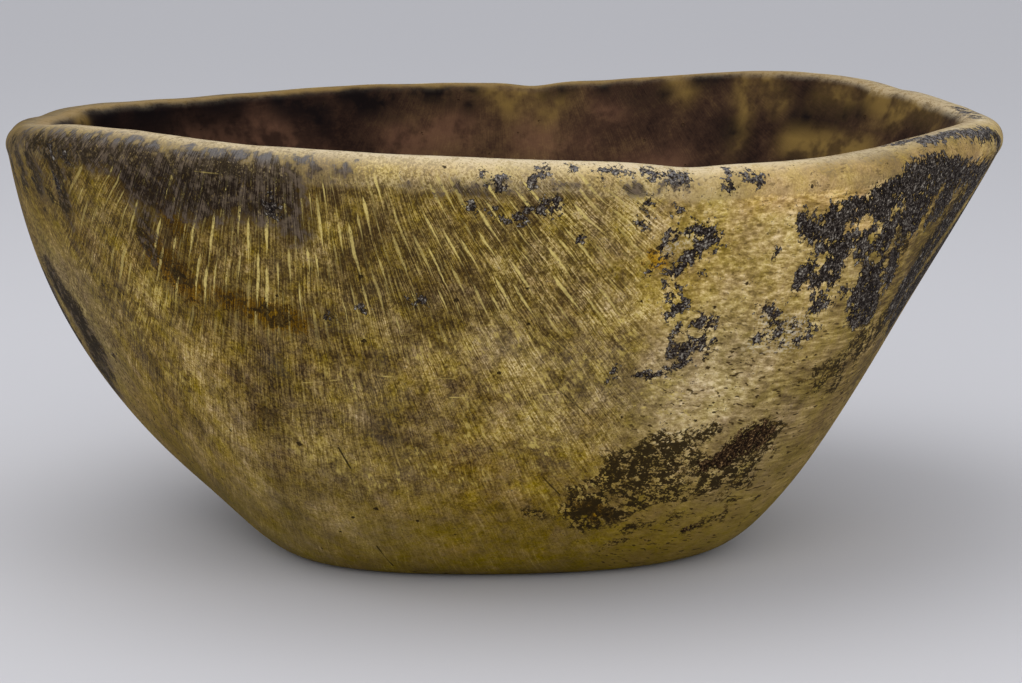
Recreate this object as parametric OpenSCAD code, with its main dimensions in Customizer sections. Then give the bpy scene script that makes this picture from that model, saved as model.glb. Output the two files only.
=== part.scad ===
// Dough bowl, dug out of one block of wood.
// The rim is an uneven oval that rises and falls, with a round lip. The wall
// leans out by a different angle on every side and turns in one sweep under the
// belly to a flat foot, rubbed level by use. The hollow follows the wall down to
// a smooth round floor.
// X runs along the grain and Z runs up. The foot stands on Z = 0, under the
// middle of the rim.

/* [Bowl] */
// Length over the rim, along the grain
bowl_length = 492; // [420:1:620]
// Width over the rim, across the grain
bowl_width = 480; // [410:1:600]
// Height of the rim's highest point above the foot
bowl_height = 211; // [170:1:280]
// How far the rim's lowest point lies below its highest
rim_wave = 14; // [0:1:24]

/* [Wall] */
// Thickness of the wall over the lip
rim_thickness = 22; // [19:0.5:32]
// Radius of the lip's outer edge
outer_lip_radius = 9.5; // [4:0.5:10]
// Radius of the lip's inner edge
inner_lip_radius = 7; // [3:0.5:8]
// Length over which the wall keeps the lip's lean on its way down
wall_sweep = 126; // [80:1:140]
// How far the underside runs level beyond the foot before it climbs
belly_sweep = 26; // [14:1:50]

/* [Foot] */
// Length of the flat foot, along the grain
foot_length = 210; // [160:1:240]
// Width of the flat foot, across the grain
foot_width = 206; // [160:1:240]
// Distance of the foot's middle from the rim's middle, along the grain
foot_offset_x = -10; // [-20:1:20]
// Distance of the foot's middle from the rim's middle, across the grain
foot_offset_y = -2; // [-20:1:20]

/* [Hollow] */
// Thickness of the wood under the middle of the hollow
floor_thickness = 28; // [22:1:45]
// How far the hollow's floor runs level from its middle
floor_sweep = 132; // [80:1:140]
// Length over which the hollow's side keeps the lip's lean on its way down
hollow_sweep = 114; // [70:1:125]
// How much further the hollow's side leans than the wall outside it, in degrees
hollow_lean = 3; // [0:0.5:8]

/* [Hidden] */

// One value for every 30 degrees round the bowl, from +X by way of +Y.
// How far the rim swells beyond a true oval, as shares of the oval's radius
rim_swell_shares = [-0.025, -0.05, -0.06, -0.03, -0.045, -0.015, 0, 0, 0.015, 0.04, 0.08, 0.03];
// How high the rim stands in its wave, before the wave is set to its height
rim_rise_shares = [0.45, 0.3, 0.15, 0.2, 0.25, 0.8, 0.6, 0.25, 0.05, 0.35, 0.25, 0.95];
// How far the foot swells beyond a true oval, as shares of the oval's radius
foot_swell_shares = [-0.02, -0.04, -0.07, -0.08, -0.05, 0.08, 0.03, 0, 0.08, 0.08, -0.01, 0.01];
// How thick the rim is, as shares of its named thickness
rim_thickness_shares = [1, 1, 1.05, 1.15, 1.15, 1, 0.9, 0.88, 0.95, 1, 1, 1];
// How far the wall leans out below the lip, in degrees from upright
wall_leans = [22, 10, 10, 0, 12, 23, 14, 17, 12, 25, 26, 24];

stations = len(rim_swell_shares);
sides = 96;
wall_rows = 13;
lip_rows = 3;
hollow_rows = 12;
straight_up = 90;
// A turn smaller than this, in degrees, is at the station itself
at_station = 0.001;

// Weight of a station for a point that lies this many degrees away from it
function station_weight(turn) =
    abs(turn) < at_station ? 1 : sin(stations * turn / 2) / (stations * tan(turn / 2));

// Smooth closed curve through one value for each station
function around(values, angle) =
    values * [for (i = [0 : stations - 1]) station_weight(angle - i * 360 / stations)];

// Radius of an oval with this length and width
function oval_radius(length, width, angle) =
    1 / norm([2 * cos(angle) / length, 2 * sin(angle) / width]);

function unit(v) = v / norm(v);
function level(v) = [v[0], v[1], 0];

// Point at share t of the sweep from a to d, with b and c as its handles
function sweep(a, b, c, d, t) =
    pow(1 - t, 3) * a + 3 * pow(1 - t, 2) * t * b + 3 * (1 - t) * pow(t, 2) * c + pow(t, 3) * d;

// The rim's uneven oval, before it is set to its length and width
function free_rim(angle) =
    oval_radius(bowl_length, bowl_width, angle) * (1 + around(rim_swell_shares, angle))
    * [cos(angle), sin(angle)];

angles = [for (i = [0 : sides - 1]) i * 360 / sides];
free_rims = [for (a = angles) free_rim(a)];
free_low = [for (k = [0 : 1]) min([for (p = free_rims) p[k]])];
free_high = [for (k = [0 : 1]) max([for (p = free_rims) p[k]])];
free_middle = (free_low + free_high) / 2;
rim_stretch = [bowl_length / (free_high[0] - free_low[0]), bowl_width / (free_high[1] - free_low[1])];
free_rises = [for (a = angles) around(rim_rise_shares, a)];
free_climb = max(free_rises) - min(free_rises);

// The rim's outermost line, in plan, around the origin
function rim_at(i) = concat([for (k = [0 : 1]) (free_rims[i][k] - free_middle[k]) * rim_stretch[k]], [0]);

// Height of the rim's top
function top_at(i) = bowl_height - rim_wave * (max(free_rises) - free_rises[i]) / free_climb;

foot_middle = [foot_offset_x, foot_offset_y, 0];

// Outer surface and lip at one side, from the foot's edge to the middle of the lip
function wall_profile(i) =
    let (
        angle = angles[i],
        rim = rim_at(i),
        out = unit(rim),
        up = [0, 0, 1],
        lean = around(wall_leans, angle),
        top = top_at(i),
        foot = foot_middle + oval_radius(foot_length, foot_width, angle)
            * (1 + around(foot_swell_shares, angle)) * [cos(angle), sin(angle), 0],
        lip_middle = rim - outer_lip_radius * out + (top - outer_lip_radius) * up,
        lip_start = lip_middle + outer_lip_radius * (cos(lean) * out - sin(lean) * up),
        foot_handle = foot + belly_sweep * unit(rim - foot),
        lip_handle = lip_start - wall_sweep * (sin(lean) * out + cos(lean) * up)
    )
    concat(
        [for (r = [0 : wall_rows - 1]) sweep(foot, foot_handle, lip_handle, lip_start, r / wall_rows)],
        [lip_start],
        [for (r = [0 : lip_rows])
            let (turn = straight_up * r / lip_rows)
            lip_middle + outer_lip_radius * (cos(turn) * out + sin(turn) * up)]
    );

// Lip and hollow at one side, from the top of the lip's inner edge almost to the floor's middle
function hollow_profile(i) =
    let (
        angle = angles[i],
        rim = rim_at(i),
        out = unit(rim),
        up = [0, 0, 1],
        lean = around(wall_leans, angle) + hollow_lean,
        top = top_at(i),
        thickness = rim_thickness * around(rim_thickness_shares, angle),
        floor_middle = foot_middle + floor_thickness * up,
        lip_middle = rim - (thickness - inner_lip_radius) * out + (top - inner_lip_radius) * up,
        lip_end = lip_middle + inner_lip_radius * (-cos(lean) * out + sin(lean) * up),
        side_handle = lip_end - hollow_sweep * (sin(lean) * out + cos(lean) * up),
        floor_handle = floor_middle + floor_sweep * unit(level(lip_end - floor_middle))
    )
    concat(
        [for (r = [0 : lip_rows])
            let (turn = straight_up + (straight_up - lean) * r / lip_rows)
            lip_middle + inner_lip_radius * (cos(turn) * out + sin(turn) * up)],
        [for (r = [1 : hollow_rows - 1])
            sweep(lip_end, side_handle, floor_handle, floor_middle, r / hollow_rows)]
    );

// The shell's skin: one row of points for each side, joined to the next side by triangles
module bowl() {
    profiles = [for (i = [0 : sides - 1]) concat(wall_profile(i), hollow_profile(i))];
    rows = len(profiles[0]);
    points = concat([for (p = profiles) each p], [foot_middle + [0, 0, floor_thickness]]);
    floor_point = sides * rows;
    next_side = function (i) (i + 1) % sides;
    skin = [for (i = [0 : sides - 1], r = [0 : rows - 2])
        let (a = i * rows + r, b = next_side(i) * rows + r)
        each [[a, a + 1, b + 1], [a, b + 1, b]]];
    floor_fan = [for (i = [0 : sides - 1])
        [i * rows + rows - 1, floor_point, next_side(i) * rows + rows - 1]];
    foot_face = [for (i = [0 : sides - 1]) i * rows];
    color("#7d683f") polyhedron(points = points, faces = concat([foot_face], skin, floor_fan));
}

bowl();
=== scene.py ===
import math
import bpy
import numpy as np
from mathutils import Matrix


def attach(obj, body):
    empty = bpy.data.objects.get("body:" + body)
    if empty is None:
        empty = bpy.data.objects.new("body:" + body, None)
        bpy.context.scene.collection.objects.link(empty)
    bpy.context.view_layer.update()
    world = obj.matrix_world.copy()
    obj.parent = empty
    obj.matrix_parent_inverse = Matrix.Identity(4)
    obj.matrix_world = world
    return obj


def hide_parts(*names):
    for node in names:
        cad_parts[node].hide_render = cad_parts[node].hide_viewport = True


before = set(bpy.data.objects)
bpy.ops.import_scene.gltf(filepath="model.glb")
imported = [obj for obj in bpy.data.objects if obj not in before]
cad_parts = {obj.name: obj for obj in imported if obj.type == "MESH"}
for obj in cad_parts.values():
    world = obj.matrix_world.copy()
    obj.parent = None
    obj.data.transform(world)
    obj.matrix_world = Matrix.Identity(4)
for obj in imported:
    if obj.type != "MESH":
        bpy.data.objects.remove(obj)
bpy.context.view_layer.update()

mm = 0.001


def feed(tree, socket, value):
    if isinstance(value, bpy.types.NodeSocket):
        tree.links.new(value, socket)
    else:
        socket.default_value = value


def addNode(tree, kind, inputs=None, **settings):
    made = tree.nodes.new(kind)
    for name, value in settings.items():
        setattr(made, name, value)
    for key, value in (inputs or {}).items():
        feed(tree, made.inputs[key], value)
    return made


def calc(tree, operation, *values, clamp=False):
    made = addNode(tree, "ShaderNodeMath", operation=operation, use_clamp=clamp)
    for i, value in enumerate(values):
        feed(tree, made.inputs[i], value)
    return made.outputs[0]


def vectorCalc(tree, operation, *values):
    made = addNode(tree, "ShaderNodeVectorMath", operation=operation)
    for i, value in enumerate(values):
        feed(tree, made.inputs[i], value)
    return made.outputs["Value" if operation in ("DOT_PRODUCT", "LENGTH") else "Vector"]


def times(tree, *values):
    total = values[0]
    for value in values[1:]:
        total = calc(tree, "MULTIPLY", total, value)
    return total


def plus(tree, *values):
    total = values[0]
    for value in values[1:]:
        total = calc(tree, "ADD", total, value)
    return total


def centred(tree, value, amount):
    return times(tree, calc(tree, "SUBTRACT", value, 0.5), amount)


def combine(tree, x, y, z):
    return addNode(tree, "ShaderNodeCombineXYZ", {"X": x, "Y": y, "Z": z}).outputs[0]


def remap(tree, value, low, high, toLow=0.0, toHigh=1.0, smooth=True):
    made = addNode(tree, "ShaderNodeMapRange", {"Value": value, "From Min": low, "From Max": high,
                                                "To Min": toLow, "To Max": toHigh},
                   interpolation_type="SMOOTHSTEP" if smooth else "LINEAR")
    return made.outputs["Result"]


def blendColours(tree, amount, first, second, mode="MIX"):
    made = addNode(tree, "ShaderNodeMix", data_type="RGBA", blend_type=mode)
    feed(tree, made.inputs["Factor"], amount)
    feed(tree, made.inputs[6], first)
    feed(tree, made.inputs[7], second)
    return made.outputs[2]


def blendValues(tree, amount, first, second):
    return addNode(tree, "ShaderNodeMix", {"Factor": amount, "A": first, "B": second},
                   data_type="FLOAT").outputs[0]


def noiseValue(tree, vector, scale, detail=2.0, roughness=0.5, distortion=0.0):
    made = addNode(tree, "ShaderNodeTexNoise", {"Vector": vector, "Scale": scale, "Detail": detail,
                                                "Roughness": roughness, "Distortion": distortion})
    return made.outputs["Fac"]


def attributeValue(tree, name):
    return addNode(tree, "ShaderNodeAttribute", attribute_name=name).outputs["Fac"]


def srgb(red, green, blue):
    def toLinear(v):
        v = v / 255
        return v / 12.92 if v <= 0.04045 else ((v + 0.055) / 1.055) ** 2.4
    return (toLinear(red), toLinear(green), toLinear(blue), 1.0)


def colourRamp(tree, value, stops):
    made = addNode(tree, "ShaderNodeValToRGB", {"Fac": value})
    ramp = made.color_ramp
    while len(ramp.elements) < len(stops):
        ramp.elements.new(0.5)
    for element, (place, colour) in zip(ramp.elements, stops):
        element.position = place
        element.color = srgb(*colour)
    return made.outputs["Color"]


def startGroup(name, inputs, outputs):
    tree = bpy.data.node_groups.new(name, "ShaderNodeTree")
    for label, value in inputs.items():
        kind = "NodeSocketVector" if isinstance(value, tuple) else "NodeSocketFloat"
        made = tree.interface.new_socket(name=label, in_out="INPUT", socket_type=kind)
        made.default_value = value
    for label in outputs:
        tree.interface.new_socket(name=label, in_out="OUTPUT", socket_type="NodeSocketFloat")
    start = tree.nodes.new("NodeGroupInput")
    end = tree.nodes.new("NodeGroupOutput")
    return tree, start.outputs, end.inputs


def useGroup(tree, group, inputs=None):
    made = tree.nodes.new("ShaderNodeGroup")
    made.node_tree = group
    for key, value in (inputs or {}).items():
        feed(tree, made.inputs[key], value)
    return made.outputs


bowlShape = {
    "length": 492 * mm, "width": 480 * mm, "height": 211 * mm, "rimWave": 14 * mm,
    "rimThickness": 22 * mm, "outerLip": 9.5 * mm, "innerLip": 7 * mm,
    "wallSweep": 126 * mm, "bellySweep": 26 * mm,
    "footLength": 210 * mm, "footWidth": 206 * mm, "footMiddle": (-10 * mm, -2 * mm, 0),
    "floorThickness": 28 * mm, "floorSweep": 132 * mm, "hollowSweep": 114 * mm, "hollowLean": 3,
    # one value for every 30 degrees, from +X by way of +Y
    "rimSwell": [-0.025, -0.05, -0.06, -0.03, -0.045, -0.015, 0, 0, 0.015, 0.04, 0.08, 0.03],
    "rimRise": [0.45, 0.3, 0.15, 0.2, 0.25, 0.8, 0.6, 0.25, 0.05, 0.35, 0.25, 0.95],
    "footSwell": [-0.02, -0.04, -0.07, -0.08, -0.05, 0.08, 0.03, 0, 0.08, 0.08, -0.01, 0.01],
    "thickness": [1, 1, 1.05, 1.15, 1.15, 1, 0.9, 0.88, 0.95, 1, 1, 1],
    "lean": [22, 10, 10, 0, 12, 23, 14, 17, 12, 25, 26, 24],
    # wear, which only ever takes wood away
    "handCut": 0.7 * mm, "handCutSpan": 60 * mm,       # long soft hollows left by the carver
    "hollowCut": 0.9 * mm, "hollowCutSpan": 38 * mm,
    "lipWorn": 0.7 * mm, "lipWornSpan": 24 * mm, "lipWearReach": 30 * mm,
    "keepFlat": 25 * mm,                               # height over which the cuts fade to the foot
    # dips in the rim: side in degrees, depth, half length
    "dips": [(219.3, 1.5 * mm, 15 * mm), (13.4, 2.0 * mm, 13 * mm), (98, 1.2 * mm, 17 * mm),
             (318, 1.0 * mm, 11 * mm), (171, 0.5 * mm, 20 * mm)],
    # how finely it is built
    "sides": 540, "footRows": 9, "wallRows": 92, "lipRows": 12, "innerLipRows": 10, "hollowRows": 50,
}


def around(values, angle):
    count = len(values)
    total = np.zeros_like(angle)
    for k, value in enumerate(values):
        turn = angle - k * 2 * np.pi / count
        here = np.abs(np.sin(turn / 2)) < 1e-7
        weight = np.sin(count * turn / 2) / np.where(here, 1, count * np.tan(turn / 2))
        total = total + value * np.where(here, 1.0, weight)
    return total


def ovalRadius(length, width, angle):
    return 1 / np.hypot(2 * np.cos(angle) / length, 2 * np.sin(angle) / width)


def unit(v):
    return v / np.linalg.norm(v, axis=-1, keepdims=True)


def sweep(a, b, c, d, t):
    return (1 - t) ** 3 * a + 3 * (1 - t) ** 2 * t * b + 3 * (1 - t) * t ** 2 * c + t ** 3 * d


def bowlProfiles(s):
    angle = np.arange(s["sides"]) * 2 * np.pi / s["sides"]
    spoke = np.stack([np.cos(angle), np.sin(angle), np.zeros_like(angle)], -1)
    rimRadius = ovalRadius(s["length"], s["width"], angle) * (1 + around(s["rimSwell"], angle))
    rim = spoke * rimRadius[:, None]
    low, high = rim.min(0), rim.max(0)
    rim = (rim - (low + high) / 2) * [s["length"] / (high - low)[0], s["width"] / (high - low)[1], 0]
    rise = around(s["rimRise"], angle)
    top = (s["height"] - s["rimWave"] * (rise.max() - rise) / (rise.max() - rise.min()))[:, None]
    out, up = unit(rim), np.array([0, 0, 1.0])
    lean = np.radians(around(s["lean"], angle))[:, None]
    footMiddle = np.array(s["footMiddle"])
    foot = footMiddle + spoke * (ovalRadius(s["footLength"], s["footWidth"], angle)
                                 * (1 + around(s["footSwell"], angle)))[:, None]

    # outside, from the foot's edge to the top of the lip
    r = s["outerLip"]
    lipMiddle = rim - r * out + (top - r) * up
    lipStart = lipMiddle + r * (np.cos(lean) * out - np.sin(lean) * up)
    footHandle = foot + s["bellySweep"] * unit(rim - foot)
    lipHandle = lipStart - s["wallSweep"] * (np.sin(lean) * out + np.cos(lean) * up)
    rows = [("foot", footMiddle + (foot - footMiddle) * k / s["footRows"])
            for k in range(1, s["footRows"])]
    rows += [("wall", sweep(foot, footHandle, lipHandle, lipStart, k / s["wallRows"]))
             for k in range(s["wallRows"])]
    for k in range(s["lipRows"] + 1):
        turn = -lean + (np.pi / 2 + lean) * k / s["lipRows"]
        rows.append(("lip", lipMiddle + r * (np.cos(turn) * out + np.sin(turn) * up)))

    # inside, from the top of the lip down to the floor
    r = s["innerLip"]
    lean = lean + np.radians(s["hollowLean"])
    thickness = (s["rimThickness"] * around(s["thickness"], angle))[:, None]
    lipMiddle = rim - (thickness - r) * out + (top - r) * up
    lipTop = rows[-1][1]
    rows.append(("lip", (lipTop + lipMiddle + r * up) / 2))
    for k in range(s["innerLipRows"] + 1):
        turn = np.pi / 2 + (np.pi / 2 - lean) * k / s["innerLipRows"]
        rows.append(("innerLip", lipMiddle + r * (np.cos(turn) * out + np.sin(turn) * up)))
    lipEnd = rows[-1][1]
    floorMiddle = footMiddle + s["floorThickness"] * up
    sideHandle = lipEnd - s["hollowSweep"] * (np.sin(lean) * out + np.cos(lean) * up)
    floorHandle = floorMiddle + s["floorSweep"] * unit((lipEnd - floorMiddle) * [1, 1, 0])
    rows += [("hollow", sweep(lipEnd, sideHandle, floorHandle, floorMiddle, k / s["hollowRows"]))
             for k in range(1, s["hollowRows"])]
    kinds = [kind for kind, row in rows]
    return np.stack([row for kind, row in rows], 1), kinds, footMiddle, floorMiddle


def ripple(points, span, seed, waves=26):
    # a smooth random field from -1 to 1 that changes over about this span
    draw = np.random.default_rng(seed)
    heading = unit(draw.normal(size=(waves, 3)))
    pitch = 2 * np.pi / (span * draw.uniform(0.8, 2.2, waves))
    phase = draw.uniform(0, 2 * np.pi, waves)
    return np.clip(np.sin(points @ (heading * pitch[:, None]).T + phase).mean(-1) * 2.6, -1, 1)


def gridNormals(grid):
    along = np.roll(grid, -1, 0) - np.roll(grid, 1, 0)
    down = np.gradient(grid, axis=1)
    return unit(np.cross(along, down) + 1e-15)


def wearAway(grid, kinds, s):
    normal = gridNormals(grid)
    kind = np.array(kinds)[None, :]
    depth = np.zeros(grid.shape[:2])
    share = 0.5 + 0.5 * ripple(grid, s["handCutSpan"], 11)
    fade = np.clip(grid[..., 2] / s["keepFlat"], 0, 1)
    depth += np.where(kind == "wall", s["handCut"] * share * fade, 0)
    share = 0.5 + 0.5 * ripple(grid, s["hollowCutSpan"], 12)
    depth += np.where(kind == "hollow", s["hollowCut"] * share, 0)
    # the lip is worn unevenly, and the wear runs out down both sides
    crest = s["height"] - s["rimWave"]
    reach = s["lipWearReach"]
    nearTop = np.clip((grid[..., 2] - crest + reach) / reach, 0, 1) ** 2
    share = 0.5 + 0.5 * ripple(grid, s["lipWornSpan"], 13)
    depth += s["lipWorn"] * share * nearTop
    worn = grid - normal * depth[..., None]
    # dips go straight down
    side = np.arctan2(grid[..., 1], grid[..., 0])
    radius = np.hypot(grid[..., 0], grid[..., 1])
    for place, deep, half in s["dips"]:
        away = (side - math.radians(place) + np.pi) % (2 * np.pi) - np.pi
        worn[..., 2] -= deep * np.exp(-(away * radius / half) ** 2) * nearTop
    return worn


def joinRows(sides, rows):
    i = np.arange(sides)[:, None]
    k = np.arange(rows - 1)[None, :]
    j = (i + 1) % sides
    return np.stack([i * rows + k, j * rows + k, j * rows + k + 1, i * rows + k + 1], -1).reshape(-1, 4)


def meshFromGrid(name, grid, bottom, top):
    sides, rows = grid.shape[:2]
    points = np.concatenate([grid.reshape(-1, 3), [bottom], [top]])
    bottomPoint, topPoint = len(points) - 2, len(points) - 1
    faces = [tuple(q) for q in joinRows(sides, rows).tolist()]
    faces += [(bottomPoint, (i + 1) % sides * rows, i * rows) for i in range(sides)]
    faces += [(topPoint, i * rows + rows - 1, (i + 1) % sides * rows + rows - 1) for i in range(sides)]
    mesh = bpy.data.meshes.new(name)
    mesh.from_pydata(points.tolist(), [], faces)
    mesh.polygons.foreach_set("use_smooth", [True] * len(mesh.polygons))
    mesh.validate()
    mesh.update()
    return mesh, points


print("bowl: building the shape")
profileGrid, rowKinds, footMiddle, floorMiddle = bowlProfiles(bowlShape)
wornGrid = wearAway(profileGrid, rowKinds, bowlShape)
bowlMesh, bowlPoints = meshFromGrid("doughBowl", wornGrid, footMiddle, floorMiddle)
bowl = bpy.data.objects.new("doughBowl", bowlMesh)
bpy.context.scene.collection.objects.link(bowl)


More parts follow.
